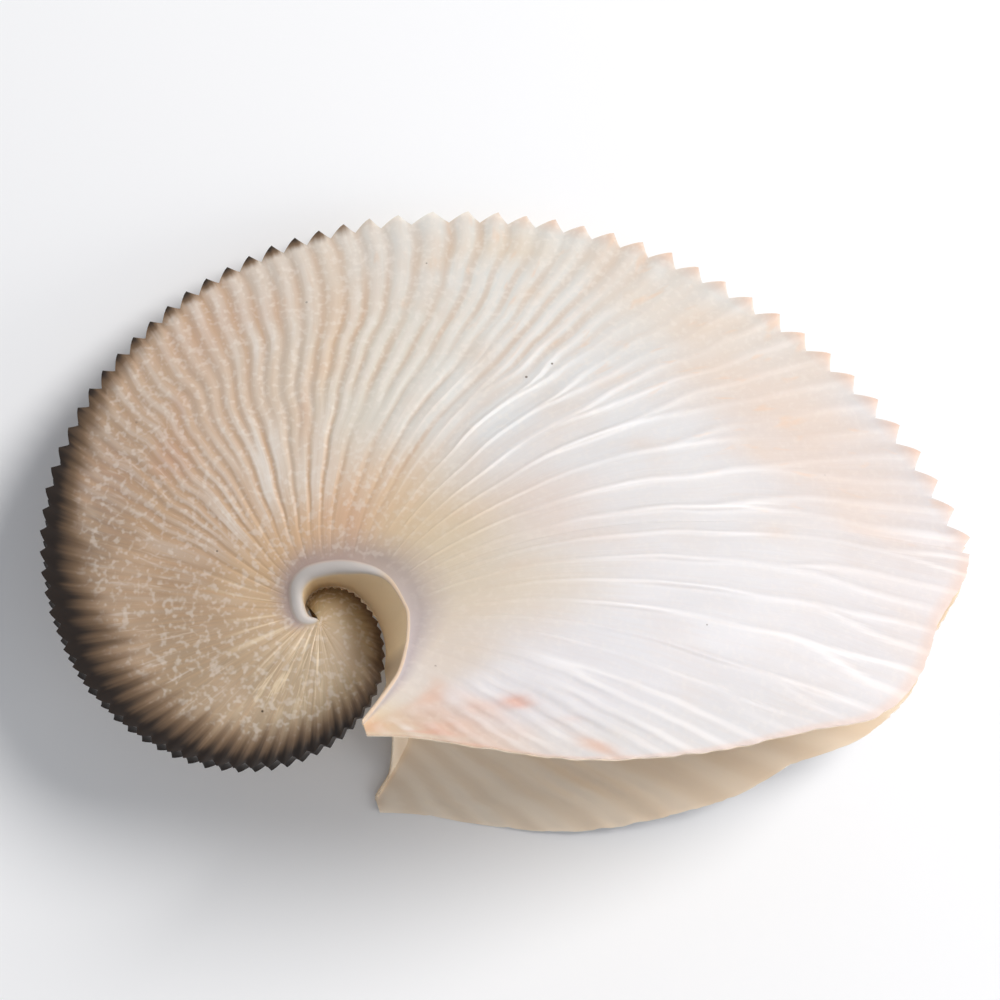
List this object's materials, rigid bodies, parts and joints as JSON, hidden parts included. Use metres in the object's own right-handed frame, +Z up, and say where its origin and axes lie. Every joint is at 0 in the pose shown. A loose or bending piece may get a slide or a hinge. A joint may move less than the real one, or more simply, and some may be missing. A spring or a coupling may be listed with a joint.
{
  "type": "paper nautilus shell",
  "caption": "Thin coiled shell lying on its side, ribbed across both flanks, with two rows of teeth along a narrow keel and a wide open mouth.",
  "frame": {"origin": "middle of the footprint, on the surface that the shell lies on", "axes": "+X along the shell's length, from the coil to the open end of the mouth; +Z up, out of the near flank; the mouth opens towards -Y"},
  "size_m": [0.2004, 0.1376, 0.0782],
  "materials": {
    "shell": "satin"
  },
  "bodies": {
    "root": {"shell": "shell"}
  },
  "joints": []
}
